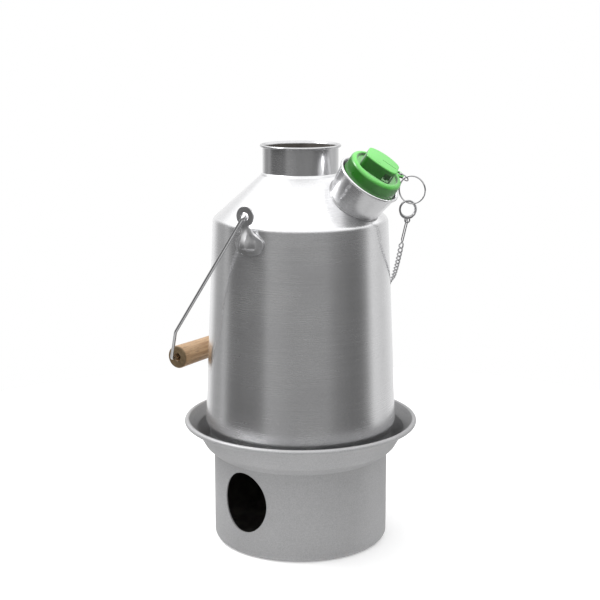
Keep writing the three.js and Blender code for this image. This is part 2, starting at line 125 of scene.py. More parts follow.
# Camera
VIEW_AZIMUTH = math.radians(33)
VIEW_DOWN = math.radians(11.8)
CAMERA_PLACE = Vector((0.5553, -0.8550, 0.3997))
LENS = 81.6
SHIFT = -0.001


# ---- Camera ----

def horizontal(azimuth):
    return Vector((math.cos(azimuth), math.sin(azimuth), 0))


def place_camera():
    data = bpy.data.cameras.new("camera")
    data.lens = LENS
    data.shift_x = SHIFT
    camera = bpy.data.objects.new("camera", data)
    scene.collection.objects.link(camera)
    ahead = Vector((-math.sin(VIEW_AZIMUTH), math.cos(VIEW_AZIMUTH), 0)) * math.cos(VIEW_DOWN)
    ahead -= UP * math.sin(VIEW_DOWN)
    camera.location = CAMERA_PLACE
    camera.rotation_euler = ahead.to_track_quat("-Z", "Y").to_euler()
    scene.camera = camera


# ---- Outlines ----

def rounded_path(corners, step_angle=STEP):
    """The points of a polyline whose corners are rounded. A corner is (x, y) or (x, y, radius)."""
    points = []
    for i, corner in enumerate(corners):
        here = Vector(corner[:2])
        radius = corner[2] if len(corner) > 2 else 0
        if radius == 0:
            points.append(here)
            continue
        before = (Vector(corners[i - 1][:2]) - here).normalized()
        after = (Vector(corners[(i + 1) % len(corners)][:2]) - here).normalized()
        half = math.acos(before.dot(after)) / 2
        turn = math.pi - 2 * half
        centre = here + (before + after).normalized() * (radius / math.sin(half))
        start = here + before * (radius / math.tan(half)) - centre
        end = here + after * (radius / math.tan(half)) - centre
        steps = max(2, round(turn / step_angle))
        for k in range(steps + 1):
            first = math.sin((1 - k / steps) * turn) / math.sin(turn)
            second = math.sin(k / steps * turn) / math.sin(turn)
            points.append(centre + start * first + end * second)
    return points


def left_of(direction):
    return Vector((-direction.y, direction.x))


def offset_path(points, distance):
    """The path moved to its left, which is the inner face of a sheet whose outer face is the path."""
    shifted = []
    last = len(points) - 1
    for i, point in enumerate(points):
        arriving = left_of((points[max(i, 1)] - points[max(i - 1, 0)]).normalized())
        leaving = left_of((points[min(i + 1, last)] - points[min(i, last - 1)]).normalized())
        mitre = (arriving + leaving) / (1 + arriving.dot(leaving))
        shifted.append(point + mitre * distance)
    return shifted


def bead_points(path, thickness, bead_radius, steps=22):
    """A rolled bead at the path's end that stands out of its outer face."""
    direction = (path[-1] - path[-2]).normalized()
    inward = left_of(direction)
    centre = path[-1] + inward * (thickness - bead_radius)
    start = math.acos((bead_radius - thickness) / bead_radius)
    points = []
    for k in range(steps + 1):
        angle = start + k / steps * (2 * math.pi - start)
        spoke = inward * bead_radius * math.cos(angle)
        points.append(centre + spoke - direction * bead_radius * math.sin(angle))
    return points


def sheet_outline(path, thickness, bead_radius=None):
    """The outline of a spun sheet whose outer face is the path, and which may end in a rolled bead."""
    inner = offset_path(path, thickness)[::-1]
    if bead_radius is None:
        return path + inner
    return path[:-1] + bead_points(path, thickness, bead_radius) + inner[1:]


def circle_points(radius, sides, centre=(0, 0)):
    turn = 2 * math.pi / sides
    return [Vector((centre[0] + radius * math.cos(k * turn), centre[1] + radius * math.sin(k * turn)))
            for k in range(sides)]


def inside(point, polygon):
    """Whether a point is inside a polygon, by counting the edges that a ray crosses."""
    crossed = False
    for a, b in zip(polygon, polygon[1:] + polygon[:1]):
        if (a.y > point.y) != (b.y > point.y):
            if point.x < a.x + (point.y - a.y) / (b.y - a.y) * (b.x - a.x):
                crossed = not crossed
    return crossed


def smoothstep(value, low, high):
    share = min(1, max(0, (value - low) / (high - low)))
    return share * share * (3 - 2 * share)


# ---- Shapes: a list of points and a list of faces, in millimetres ----

def frame_of(x, y, z, origin=Vector((0, 0, 0))):
    matrix = Matrix((x, y, z)).transposed().to_4x4()
    matrix.translation = origin
    return matrix


def link_frame(origin, along, facing):
    """A frame whose local x is along, and whose local z is as near to facing as it can be."""
    x = along.normalized()
    y = facing.cross(x).normalized()
    return frame_of(x, y, x.cross(y), origin)


def moved(shape, matrix):
    points, faces = shape
    return [matrix @ Vector(point) for point in points], faces


def joined(shapes):
    points, faces = [], []
    for more_points, more_faces in shapes:
        start = len(points)
        points += more_points
        faces += [[start + i for i in face] for face in more_faces]
    return points, faces


def turned(outline, sides=SIDES, foot=None):
    """A closed outline of (radius, height) points turned about +Z.

    foot(azimuth, is_inner) gives the radius and height there of the outline's first and last points.
    """
    points, rings = [], []
    last = len(outline) - 1
    for i, (radius, height) in enumerate(outline):
        if radius < ON_THE_AXIS:
            rings.append([len(points)] * sides)
            points.append(Vector((0, 0, height)))
            continue
        rings.append(list(range(len(points), len(points) + sides)))
        for k in range(sides):
            azimuth = 2 * math.pi * k / sides
            if foot and i in (0, last):
                radius, height = foot(azimuth, i == last)
            points.append(horizontal(azimuth) * radius + UP * height)
    faces = []
    for low, high in zip(rings, rings[1:] + rings[:1]):
        for k in range(sides):
            corners = [low[k], low[(k + 1) % sides], high[(k + 1) % sides], high[k]]
            face = [v for i, v in enumerate(corners) if v != corners[i - 1]]
            if len(face) > 2:
                faces.append(face)
    return points, faces


def swept(path, radius, sides=12, closed=False, chamfer=0.25):
    """A round wire along a path, with chamfered ends if it is open. radius is a number, or one per point."""
    path = [Vector(point) for point in path]
    count = len(path)
    radii = list(radius) if hasattr(radius, "__len__") else [radius] * count
    if closed:
        tangents = [(path[(i + 1) % count] - path[i - 1]).normalized() for i in range(count)]
    else:
        tangents = [(path[min(i + 1, count - 1)] - path[max(i - 1, 0)]).normalized() for i in range(count)]
        path = [path[0] - tangents[0] * chamfer, *path, path[-1] + tangents[-1] * chamfer]
        radii = [radii[0] - chamfer, *radii, radii[-1] - chamfer]
        tangents = [tangents[0], *tangents, tangents[-1]]
        count += 2
    side = tangents[0].orthogonal().normalized()
    sideways = []
    for tangent in tangents:
        side = (side - tangent * side.dot(tangent)).normalized()
        sideways.append(side)
    drift = 0
    if closed:
        back = (side - tangents[0] * side.dot(tangents[0])).normalized()
        drift = math.atan2(back.cross(sideways[0]).dot(tangents[0]), back.dot(sideways[0]))
    points, faces = [], []
    for i, (centre, tangent, side) in enumerate(zip(path, tangents, sideways)):
        other = tangent.cross(side)
        for k in range(sides):
            angle = 2 * math.pi * k / sides + drift * i / count
            points.append(centre + (side * math.cos(angle) + other * math.sin(angle)) * radii[i])
    for i in range(count if closed else count - 1):
        low = i * sides
        high = (i + 1) % count * sides
        for k in range(sides):
            after = (k + 1) % sides
            faces.append([low + k, low + after, high + after, high + k])
    if not closed:
        faces.append(list(range(sides))[::-1])
        faces.append(list(range((count - 1) * sides, count * sides)))
    return points, faces


def ring(radius, wire, steps=64, sides=12):
    """A wire ring round the local z axis."""
    return swept([(p.x, p.y, 0) for p in circle_points(radius, steps)], wire, sides, closed=True)


def oval_link(half_length, half_width, wire, steps=14):
    """A wire link with straight sides and round ends, flat in the local xy plane and long in x."""
    stretch = half_length - half_width
    path = []
    for end in (1, -1):
        for k in range(steps + 1):
            angle = math.pi * (k / steps - 0.5)
            reach = stretch + half_width * math.cos(angle)
            path.append((end * reach, end * half_width * math.sin(angle), 0))
    return swept(path, wire, 12, closed=True)


def bar_shape(outline, low, high, edge, edge_steps=4):
    """A flat outline's prism from low to high, whose top edge is rounded."""
    points, faces = [], []
    levels = [(low, 0)]
    for k in range(edge_steps + 1):
        angle = math.pi / 2 * k / edge_steps
        levels.append((high - edge + edge * math.sin(angle), edge * (1 - math.cos(angle))))
    ring_path = outline + outline[:2]
    for height, shrink in levels:
        moved_in = offset_path([outline[-1]] + ring_path, shrink)[1:-2]
        points += [Vector((p.x, p.y, height)) for p in moved_in]
    count = len(outline)
    for level in range(len(levels) - 1):
        start = level * count
        for k in range(count):
            after = (k + 1) % count
            faces.append([start + k, start + after, start + count + after, start + count + k])
    faces.append(list(range(count))[::-1])
    faces.append([len(levels) * count - count + k for k in range(count)])
    return points, faces


def plate_mesh(outline, holes, spacing):
    """Flat points and triangles that fill an outline round its holes, on a grid of that spacing."""
    loops = [outline, *holes]
    points = [p for loop in loops for p in loop]
    edges = []
    for loop in loops:
        start = points.index(loop[0])
        edges += [(start + k, start + (k + 1) % len(loop)) for k in range(len(loop))]
    low = Vector((min(p.x for p in outline), min(p.y for p in outline)))
    high = Vector((max(p.x for p in outline), max(p.y for p in outline)))
    for i in range(1, int((high.x - low.x) / spacing) + 1):
        for j in range(1, int((high.y - low.y) / spacing) + 1):
            spot = Vector((low.x + i * spacing, low.y + j * spacing))
            clear = all((spot - p).length > 0.6 * spacing for p in points[:len(edges)])
            if clear and inside(spot, outline) and not any(inside(spot, hole) for hole in holes):
                points.append(spot)
    flat, _, triangles, *_ = geometry.delaunay_2d_cdt(points, edges, [], 0, 1e-5)
    kept = []
    for triangle in triangles:
        middle = sum((flat[i] for i in triangle), Vector((0, 0))) / 3
        if inside(middle, outline) and not any(inside(middle, hole) for hole in holes):
            kept.append(list(triangle))
    return flat, kept


# ---- Objects ----

def shade_smooth(mesh):
    mesh.polygons.foreach_set("use_smooth", [True] * len(mesh.polygons))
    mesh.set_sharp_from_angle(angle=SHARP)


def make(name, shape, place=Matrix()):
    """An object from a shape. Its own frame is at place, in millimetres, and the shape is in that frame."""
    points, faces = shape
    mesh = bpy.data.meshes.new(name)
    mesh.from_pydata([Vector(point) * MM for point in points], [], faces)
    shade_smooth(mesh)
    obj = bpy.data.objects.new(name, mesh)
    scene.collection.objects.link(obj)
    world = place.copy()
    world.translation = place.translation * MM
    obj.matrix_world = world
    return obj


def finished(obj, body, materials, replaces=()):
    """Gives the object its materials and its place in the model."""
    obj.data.materials.clear()
    for material in materials:
        obj.data.materials.append(material)
    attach(obj, body)
    if replaces:
        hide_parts(*replaces)
    return obj


def apply_modifiers(obj):
    depsgraph = bpy.context.evaluated_depsgraph_get()
    mesh = bpy.data.meshes.new_from_object(obj.evaluated_get(depsgraph))
    obj.modifiers.clear()
    obj.data = mesh


def combine(obj, other, operation):
    """Cuts the other object out of obj, or joins it on, and removes it."""
    modifier = obj.modifiers.new("combine", "BOOLEAN")
    modifier.object = other
    modifier.operation = operation
    modifier.solver = "EXACT"
    apply_modifiers(obj)
    bpy.data.objects.remove(other)


def plated(obj, thickness, edge):
    """Gives a single sheet of faces a thickness, half to each side, and rounds its edges by that radius."""
    solidify = obj.modifiers.new("plate", "SOLIDIFY")
    solidify.thickness = thickness * MM
    solidify.offset = 0
    apply_modifiers(obj)
    bevel = obj.modifiers.new("edge", "BEVEL")
    bevel.width = edge * MM
    bevel.segments = 3
    bevel.limit_method = "ANGLE"
    bevel.angle_limit = math.radians(50)
    apply_modifiers(obj)


def mark_faces(obj, test, slot_number):
    """Gives another material to the faces that pass test(middle in the object's millimetres, normal).

    It comes after finished(), which starts every face on the first material.
    """
    for polygon in obj.data.polygons:
        if test(polygon.center / MM, polygon.normal):
            polygon.material_index = slot_number


def nearest_share(spot, start, end):
    """How far from start to end the nearest point to the spot is, as a share."""
    along = end - start
    return min(1, max(0, (spot - start).dot(along) / along.length_squared))


def shade_as_turned(obj, outline):
    """Gives the faces that lie on the turned outline its own smooth normals, after a boolean cut."""
    on_outline = 0.05  # how near a face's middle is to the outline that it lies on
    same_way = 0.95  # the least cosine between the face's normal and the outline's
    count = len(outline)
    normals = []
    for a, b in zip(outline, outline[1:] + outline[:1]):
        normals.append(-left_of((b - a).normalized()))
    starts, ends = [], []
    for i in range(count):
        before, here, after = normals[i - 1], normals[i], normals[(i + 1) % count]
        starts.append((before + here).normalized() if before.dot(here) > math.cos(SHARP) else here)
        ends.append((here + after).normalized() if here.dot(after) > math.cos(SHARP) else here)
    mesh = obj.data
    loop_normals = [Vector((0, 0, 0))] * len(mesh.loops)
    for polygon in mesh.polygons:
        centre = polygon.center / MM
        azimuth = math.atan2(centre.y, centre.x)
        spot = Vector((math.hypot(centre.x, centre.y), centre.z))
        facing = Vector((polygon.normal.dot(horizontal(azimuth)), polygon.normal.z))
        best, nearest = on_outline, None
        for i in range(count):
            start, end = outline[i], outline[(i + 1) % count]
            if facing.dot(normals[i]) < same_way:
                continue
            share = nearest_share(spot, start, end)
            distance = (spot - start - (end - start) * share).length
            if distance < best:
                best, nearest = distance, i
        for loop in polygon.loop_indices:
            if nearest is None:
                loop_normals[loop] = polygon.normal.copy()
                continue
            corner = mesh.vertices[mesh.loops[loop].vertex_index].co / MM
            spot = Vector((math.hypot(corner.x, corner.y), corner.z))
            share = nearest_share(spot, outline[nearest], outline[(nearest + 1) % count])
            flat = starts[nearest].lerp(ends[nearest], share).normalized()
            direction = Vector((corner.x, corner.y, 0)).normalized() if spot.x > ON_THE_AXIS else UP
            loop_normals[loop] = direction * flat.x + UP * flat.y
    mesh.normals_split_custom_set([tuple(normal) for normal in loop_normals])


# ---- Materials ----

COOL_CAST = 1.012  # how much bluer than grey bare metal is


class Nodes:
    """The node tree of a material or a world, built by short calls. Its main node is the shader."""

    def __init__(self, owner, shader="Principled BSDF"):
        owner.use_nodes = True
        self.owner = owner
        self.tree = owner.node_tree
        self.shader = self.tree.nodes[shader]

    def add(self, kind, settings=(), **sockets):
        """A new node. A socket is named with _ for each space, or is _ and its number."""
        node = self.tree.nodes.new(kind)
        for name, value in dict(settings).items():
            setattr(node, name, value)
        for name, value in sockets.items():
            self.plug(node, int(name[1:]) if name[0] == "_" else name.replace("_", " "), value)
        return node

    def plug(self, node, socket, value):
        if hasattr(value, "is_output"):
            self.tree.links.new(value, node.inputs[socket])
        else:
            node.inputs[socket].default_value = value

    def constants(self, **sockets):
        for name, value in sockets.items():
            self.shader.inputs[name.replace("_", " ")].default_value = value

    def maths(self, operation, a, b=0.0):
        return self.add("ShaderNodeMath", {"operation": operation}, _0=a, _1=b).outputs[0]

    def vector(self, operation, a, **sockets):
        return self.add("ShaderNodeVectorMath", {"operation": operation}, _0=a, **sockets)

    def noise(self, vector, scale, detail=2.0, roughness=0.5):
        node = self.add("ShaderNodeTexNoise", Vector=vector, Scale=scale, Detail=detail, Roughness=roughness)
        return node.outputs[0]

    def total(self, first, *others):
        for other in others:
            first = self.maths("ADD", first, other)
        return first

    def between(self, value, low, high, out_low=0.0, out_high=1.0, interpolation="LINEAR"):
        """value mapped from low..high to out_low..out_high, and held at the ends."""
        node = self.add("ShaderNodeMapRange", {"interpolation_type": interpolation}, _0=value, _1=low,
                        _2=high, _3=out_low, _4=out_high)
        return node.outputs[0]

    def spread(self, noise, low, high):
        """Noise, which is mostly from 0.3 to 0.7, mapped to low..high."""
        return self.between(noise, 0.3, 0.7, low, high)

    def varied(self, noise, amount):
        """Noise as a change of up to that amount either way."""
        return self.spread(noise, -amount, amount)

    def mixed(self, factor, first, second):
        node = self.add("ShaderNodeMix", {"data_type": "RGBA"}, _0=factor)
        self.plug(node, 6, first)
        self.plug(node, 7, second)
        return node.outputs[2]

    def object_place(self):
        return self.add("ShaderNodeTexCoord").outputs["Object"]

    def bump(self, height, strength, distance):
        node = self.add("ShaderNodeBump", Strength=strength, Distance=distance, Height=height)
        self.tree.links.new(node.outputs[0], self.shader.inputs["Normal"])


def new_material(name):
    return Nodes(bpy.data.materials.new(name))


def turned_place(nodes, around, along):
    """Coordinates in which noise of scale 1 makes lines round the object's z axis.

    around is the noise's scale round the axis, and along is its scale in metres on the turned face.
    """
    place = nodes.object_place()
    flat = nodes.vector("MULTIPLY", place, _1=(1, 1, 0)).outputs[0]
    outward = nodes.vector("NORMALIZE", flat).outputs[0]
    direction = nodes.vector("SCALE", outward, Scale=around).outputs[0]
    distance = nodes.vector("LENGTH", flat).outputs["Value"]
    height = nodes.add("ShaderNodeSeparateXYZ", _0=place).outputs["Z"]
    profile = nodes.total(height, nodes.maths("MULTIPLY", distance, -0.7))
    lengthways = nodes.add("ShaderNodeCombineXYZ", _2=nodes.maths("MULTIPLY", profile, along))
    return nodes.vector("ADD", direction, _1=lengthways.outputs[0]).outputs[0]


def spun_metal(name, tone, roughness, anisotropy, lines=0.02, edge=1.0, bare=1.0):
    """Spun aluminium: faint lines round the axis, fine speckle, clouds, and a soft spread along the axis.

    edge is how bright it stays at a glancing angle, and bare how much of it is free of dull oxide.
    """
    nodes = new_material(name)
    fine = nodes.noise(turned_place(nodes, 1.2, 2600.0), 1.0, 3.0, 0.65)
    broad = nodes.noise(turned_place(nodes, 0.8, 260.0), 1.0, 2.0)
    place = nodes.object_place()
    clouds = nodes.noise(place, 22.0, 3.0)
    speckle = nodes.noise(place, 1100.0, 2.0, 0.6)
    shade = nodes.total(nodes.varied(fine, lines), nodes.varied(broad, lines / 3),
                        nodes.varied(clouds, 0.02), nodes.varied(speckle, 0.05))
    warm = nodes.total(shade, tone)
    tint = nodes.add("ShaderNodeCombineColor", _0=warm, _1=warm, _2=nodes.total(shade, tone * COOL_CAST))
    nodes.plug(nodes.shader, "Base Color", tint.outputs[0])
    rough = nodes.total(nodes.varied(fine, lines), nodes.varied(clouds, 0.02), roughness)
    nodes.plug(nodes.shader, "Roughness", rough)
    nodes.constants(Metallic=bare, Anisotropic=anisotropy, Anisotropic_Rotation=0.25)
    tangent = nodes.add("ShaderNodeTangent", {"direction_type": "RADIAL", "axis": "Z"})
    nodes.plug(nodes.shader, "Tangent", tangent.outputs[0])
    nodes.shader.inputs["Specular Tint"].default_value = (edge, edge, edge, 1)
    nodes.bump(nodes.total(fine, speckle), 0.02, 0.00002)
    return nodes.owner


def plain_metal(name, tone, roughness, wear=0.05):
    """Wire, pressed plate or weld: fine grain and faint cloudy wear, with no direction."""
    nodes = new_material(name)
    place = nodes.object_place()
    fine = nodes.noise(place, 700.0, 3.0, 0.6)
    clouds = nodes.noise(place, 60.0, 2.0)
    shade = nodes.total(nodes.varied(fine, wear), nodes.varied(clouds, wear / 2), tone)
    cool = nodes.maths("MULTIPLY", shade, COOL_CAST)
    tint = nodes.add("ShaderNodeCombineColor", _0=shade, _1=shade, _2=cool)
    nodes.plug(nodes.shader, "Base Color", tint.outputs[0])
    nodes.plug(nodes.shader, "Roughness", nodes.spread(clouds, roughness - 0.05, roughness + 0.07))
    nodes.constants(Metallic=1.0)
    nodes.bump(fine, 0.1, 0.00003)
    return nodes.owner


def sooty_metal(name):
    """The side of the sheet that the fire has blackened."""
    nodes = new_material(name)
    place = nodes.object_place()
    patches = nodes.noise(place, 38.0, 4.0, 0.6)
    grain = nodes.noise(place, 900.0, 2.0)
    tint = nodes.mixed(nodes.between(patches, 0.4, 0.7), (0.045, 0.040, 0.036, 1), (0.15, 0.135, 0.12, 1))
    nodes.plug(nodes.shader, "Base Color", tint)
    nodes.plug(nodes.shader, "Roughness", nodes.spread(patches, 0.85, 0.6))
    nodes.constants(Metallic=0.0)
    nodes.bump(grain, 0.4, 0.0002)
    return nodes.owner


def stopper_plastic():
    """Semi-gloss green silicone with a faint moulded texture, deep green on its sides and a painted
    highlight that makes it pale on the faces that look up.
    """
    nodes = new_material("stopper_moulding")
    place = nodes.object_place()
    clouds = nodes.noise(place, 55.0, 3.0)
    grain = nodes.noise(place, 2600.0, 2.0)
    normal = nodes.add("ShaderNodeTexCoord").outputs["Normal"]
    facing = nodes.add("ShaderNodeSeparateXYZ", _0=normal).outputs["Z"]
    # Painted light: faces that look up are mixed towards pale green as if lit from above, plus a faint
    # random mottle
    top_light_and_mottle = nodes.total(nodes.between(facing, 0.05, 0.95), nodes.varied(clouds, 0.1))
    tint = nodes.mixed(top_light_and_mottle, (0.010, 0.15, 0.002, 1), (0.16, 0.74, 0.12, 1))
    nodes.plug(nodes.shader, "Base Color", tint)
    nodes.plug(nodes.shader, "Roughness", nodes.spread(clouds, 0.26, 0.36))
    nodes.constants(Specular_IOR_Level=0.9)
    nodes.bump(grain, 0.15, 0.00005)
    return nodes.owner


def grip_timber():
    """Waxed light hardwood: growth rings, pores and streaks along the grip's own Y axis, and dark ends."""
    nodes = new_material("grip_timber")
    place = nodes.object_place()

    def stretched(along):
        return nodes.vector("MULTIPLY", place, _1=(1, along, 1)).outputs[0]

    streaks = nodes.noise(stretched(0.06), 420.0, 4.0, 0.6)
    pores = nodes.noise(stretched(0.1), 1500.0, 2.0)
    off_centre = nodes.vector("ADD", stretched(0.12), _1=(0.011, 0, 0.017)).outputs[0]
    rings = nodes.add("ShaderNodeTexWave", {"wave_type": "RINGS", "rings_direction": "Y"}, Vector=off_centre,
                      Scale=90.0, Distortion=3.0, Detail=2.0, Detail_Scale=1.5).outputs[1]
    light = nodes.mixed(nodes.spread(streaks, 0, 1), (0.60, 0.40, 0.22, 1), (0.31, 0.17, 0.075, 1))
    tint = nodes.mixed(nodes.between(rings, 0.0, 1.0, 0.0, 0.45), light, (0.27, 0.15, 0.07, 1))
    tint = nodes.mixed(nodes.between(pores, 0.56, 0.7, 0.0, 0.5), tint, (0.13, 0.065, 0.03, 1))
    along = nodes.maths("ABSOLUTE", nodes.add("ShaderNodeSeparateXYZ", _0=place).outputs["Y"])
    half = GRIP_LENGTH / 2 * MM
    end = nodes.between(along, half - 0.0012, half - 0.0002, 0.0, 0.85)
    tint = nodes.mixed(end, tint, (0.075, 0.053, 0.022, 1))
    nodes.plug(nodes.shader, "Base Color", tint)
    nodes.plug(nodes.shader, "Roughness", nodes.spread(streaks, 0.42, 0.6))
    nodes.constants(Specular_IOR_Level=0.45, Coat_Weight=0.15, Coat_Roughness=0.35)
    nodes.bump(nodes.total(streaks, nodes.maths("MULTIPLY", pores, -0.6)), 0.35, 0.0002)
    return nodes.owner


# ---- Fire base ----

def fire_base(metal, soot, dish_painted_shade_metal):
    outer = rounded_path([
        (0, 0),
        (CUP_RADIUS, 0, 5),
        (CUP_RADIUS, CREASE_HEIGHT, 1),
        (74, 74.8, 8),
        (80.9, 87.2, 4),
        (87.4, 93.6),
    ])
    outline = sheet_outline(outer, BASE_SHEET, DISH_BEAD)
    base = make("fire_base_cup", turned(outline))
    outward = horizontal(FIRE_HOLE_AZIMUTH)
    place = frame_of(UP.cross(outward), UP, outward, UP * FIRE_HOLE_CENTRE)
    oval = [Vector((p.x * FIRE_HOLE_SIZE[0] / 2, p.y * FIRE_HOLE_SIZE[1] / 2)) for p in circle_points(1, 96)]
    cutter = make("fire_hole_cutter", bar_shape(oval, CUP_RADIUS / 2, CUP_RADIUS * 1.5, 0.1), place)
    combine(base, cutter, "DIFFERENCE")
    shade_as_turned(base, outline)

    floor_corner = 6  # height of the rounded corner between the floor and the wall
    rim_radius = 86  # where the dish's rolled rim starts

    def in_the_fire(spot, normal):
        outward = normal.dot(Vector((spot.x, spot.y, 0)).normalized())
        on_the_floor = spot.z < floor_corner and normal.z > 0.3
        return spot.z < CREASE_HEIGHT and (outward < -0.8 or on_the_floor)

    # Painted shade: the dish's faces that look up, in the recess under the kettle, get a darker metal
    def in_the_painted_dish_shade(spot, normal):
        within = math.hypot(spot.x, spot.y) < rim_radius
        return within and spot.z > CREASE_HEIGHT + 1 and normal.z > 0.2

    finished(base, "base", [metal, soot, dish_painted_shade_metal], ["fire_base"])
    mark_faces(base, in_the_fire, 1)
    mark_faces(base, in_the_painted_dish_shade, 2)


# ---- Kettle ----

def shell_path():
    """The shell's outer face."""
    seam_radius = SKIRT_RADIUS + SEAM_GAP + SHEET
    mouth_radius = COLLAR_RADIUS + SEAM_GAP + SHEET
    return rounded_path([
        (seam_radius, 83.5),
        (seam_radius, 87, 4),
        (SHELL_FOOT.x + 0.1, 93, 8),
        (SHELL_SHOULDER.x, SHELL_SHOULDER.y, 5),
        (mouth_radius, COLLAR_FOOT - SHEET),
    ])


def radius_on(path, height):
    """The radius of a rising path at a height."""
    for low, high in zip(path, path[1:]):
        if low.y <= height <= high.y:
            return low.x + (height - low.y) / (high.y - low.y) * (high.x - low.x)
    return path[0].x if height < path[0].y else path[-1].x


def shell_radius(height):
    share = (height - SHELL_FOOT.y) / (SHELL_SHOULDER.y - SHELL_FOOT.y)
    return SHELL_FOOT.x + share * (SHELL_SHOULDER.x - SHELL_FOOT.x)


SPOUT_FRAME = frame_of(Vector((SPOUT_AXIS.z, 0, -SPOUT_AXIS.x)), Vector((0, 1, 0)), SPOUT_AXIS, SPOUT_LIP)


def spout_radius(depth):
    return SPOUT_TOP_RADIUS - (depth - SPOUT_LIP_CURL) * SPOUT_FLARE


def spout_meets(path, azimuth, wall=0.0):
    """How deep along the spout its wall, moved in by that much, meets a turned path at that azimuth."""
    low, high = 0.0, 60.0
    for _ in range(40):
        depth = (low + high) / 2
        spot = SPOUT_FRAME @ (horizontal(azimuth) * (spout_radius(depth) - wall) - UP * depth)
        outside = math.hypot(spot.x, spot.y) > radius_on(path, spot.z)
        low, high = (depth, high) if outside else (low, depth)
    return (low + high) / 2


def outer_shell(metal):
    outline = sheet_outline(shell_path(), SHEET)
    shell = make("kettle_shell", turned(outline, 256))
    cylinder = bar_shape(circle_points(SHELL_BORE_RADIUS, 128), -45, 12, 0.1)
    combine(shell, make("bore_cutter", cylinder, SPOUT_FRAME), "DIFFERENCE")
    shade_as_turned(shell, outline)
    finished(shell, "kettle", [metal], ["outer_shell"])


def chimney_flue(metal, soot):
    outer = rounded_path([
        (SKIRT_RADIUS, SKIRT_FOOT),
        (SKIRT_RADIUS, 94, 10),
        (COLLAR_RADIUS, 274, 20),
        (COLLAR_RADIUS, COLLAR_TOP - 0.9, 0.6),
        (COLLAR_RADIUS + 1, COLLAR_TOP),
    ])
    outline = sheet_outline(outer, SHEET, SHEET)
    flue = make("chimney_flue_cone", turned(outline))

    def in_the_flue(spot, normal):
        return normal.dot(Vector((spot.x, spot.y, 0))) < 0 and spot.z < COLLAR_TOP - 2.5

    finished(flue, "kettle", [metal, soot], ["chimney_flue"])
    mark_faces(flue, in_the_flue, 1)


def collar_seam(metal):
    """The weld that fills the corner between the cone and the collar."""
    section = rounded_path([
        (COLLAR_RADIUS - 0.2, COLLAR_FOOT - 1.6),
        (COLLAR_RADIUS + 1.9, COLLAR_FOOT - 1.9),
        (COLLAR_RADIUS + 0.7, COLLAR_FOOT + 0.1, 1.2),
        (COLLAR_RADIUS - 0.2, COLLAR_FOOT + 1.1),
    ])
    finished(make("collar_seam", turned(section)), "kettle", [metal])


def spout_tube(metal, weld):
    outer = rounded_path([
        (spout_radius(SPOUT_FOOT_DEPTH), -SPOUT_FOOT_DEPTH),
        (spout_radius(SPOUT_LIP_CURL), -SPOUT_LIP_CURL, 0.5),
        (spout_radius(0.9) + 0.2, -0.9),
    ])
    outline = sheet_outline(outer, SHEET, 0.9)
    inner_face = offset_path(shell_path(), SHEET)

    def foot(azimuth, inner):
        wall = SHEET if inner else 0
        depth = spout_meets(inner_face, azimuth, wall)
        return spout_radius(depth) - wall, -depth

    tube = make("spout_tube_turned", turned(outline, 160, foot), SPOUT_FRAME)
    finished(tube, "kettle", [metal], ["spout_tube"])

    path = []
    steps = 180
    outer_face = shell_path()
    for k in range(steps):
        azimuth = 2 * math.pi * k / steps
        depth = spout_meets(outer_face, azimuth)
        path.append(SPOUT_FRAME @ (horizontal(azimuth) * (spout_radius(depth) + 0.1) - UP * depth))
    bead = swept(path, 0.75, 10, closed=True)
    finished(make("spout_weld", bead), "kettle", [weld])


# ---- Handle lugs ----

def lug_outline():
    """The lug laid flat: x across it, y downwards from the eye's middle."""
    neck = 4.1  # half the width of the neck under the eye
    eye_end = math.acos(neck / EYE_RADIUS) + 0.25
    outline = []
    for k in range(41):
        angle = eye_end - k / 40 * (math.pi + 2 * eye_end)
        outline.append(Vector((EYE_RADIUS * math.cos(angle), EYE_RADIUS * math.sin(angle))))
    side = rounded_path([
        (-neck, 6.5),
        (-neck - 0.1, 11.5, 7),
        (-12.9, 19.3, 4.5),
        (-9.6, 27.2, 5.5),
        (0, 28.9, 26),
        (9.6, 27.2, 5.5),
        (12.9, 19.3, 4.5),
        (neck + 0.1, 11.5, 7),
        (neck, 6.5),
    ])
    return outline + side[1:-1]


def handle_lug(name, node, metal, rear):
    """A plate that lies on the shell at its foot, stands clear at its eye, and has a rib pressed between."""
    flat, triangles = plate_mesh(lug_outline(), [circle_points(EYE_HOLE_RADIUS, 40)], 0.8)
    foot_top = 17.5  # how far below the eye the plate meets the shell
    rib_end = 22.0  # how far down the pressed rib reaches
    rib_rise = 3.8  # how far it leans out by then
    shell = shell_path()
    points = []
    for spot in flat:
        height = PIVOT.z - spot.y
        radius = radius_on(shell, height) + 0.25 + LUG_PLATE / 2
        lying = math.sqrt(max(0, radius * radius - spot.x * spot.x))
        flank = LUG_FACE + (lying - LUG_FACE) * smoothstep(spot.y, 7.0, foot_top)
        ridge = max(flank, LUG_FACE + rib_rise * smoothstep(spot.y, 6.5, rib_end))
        rib_width = 3.6 + 2.4 * smoothstep(spot.y, 9, rib_end)
        share = smoothstep(-abs(spot.x), -rib_width, -0.25 * rib_width)
        share *= 1 - smoothstep(spot.y, rib_end, rib_end + 3.2)
        depth = flank + (ridge - flank) * share
        points.append(Vector((spot.x, -depth, height)))
    lug = make(name, (points, triangles))
    plated(lug, LUG_PLATE, 0.35)
    if rear:
        lug.data.transform(Matrix.Rotation(math.pi, 4, "Z"))
    shade_smooth(lug.data)
    finished(lug, "kettle", [metal], [node])


# ---- Bail and grip ----

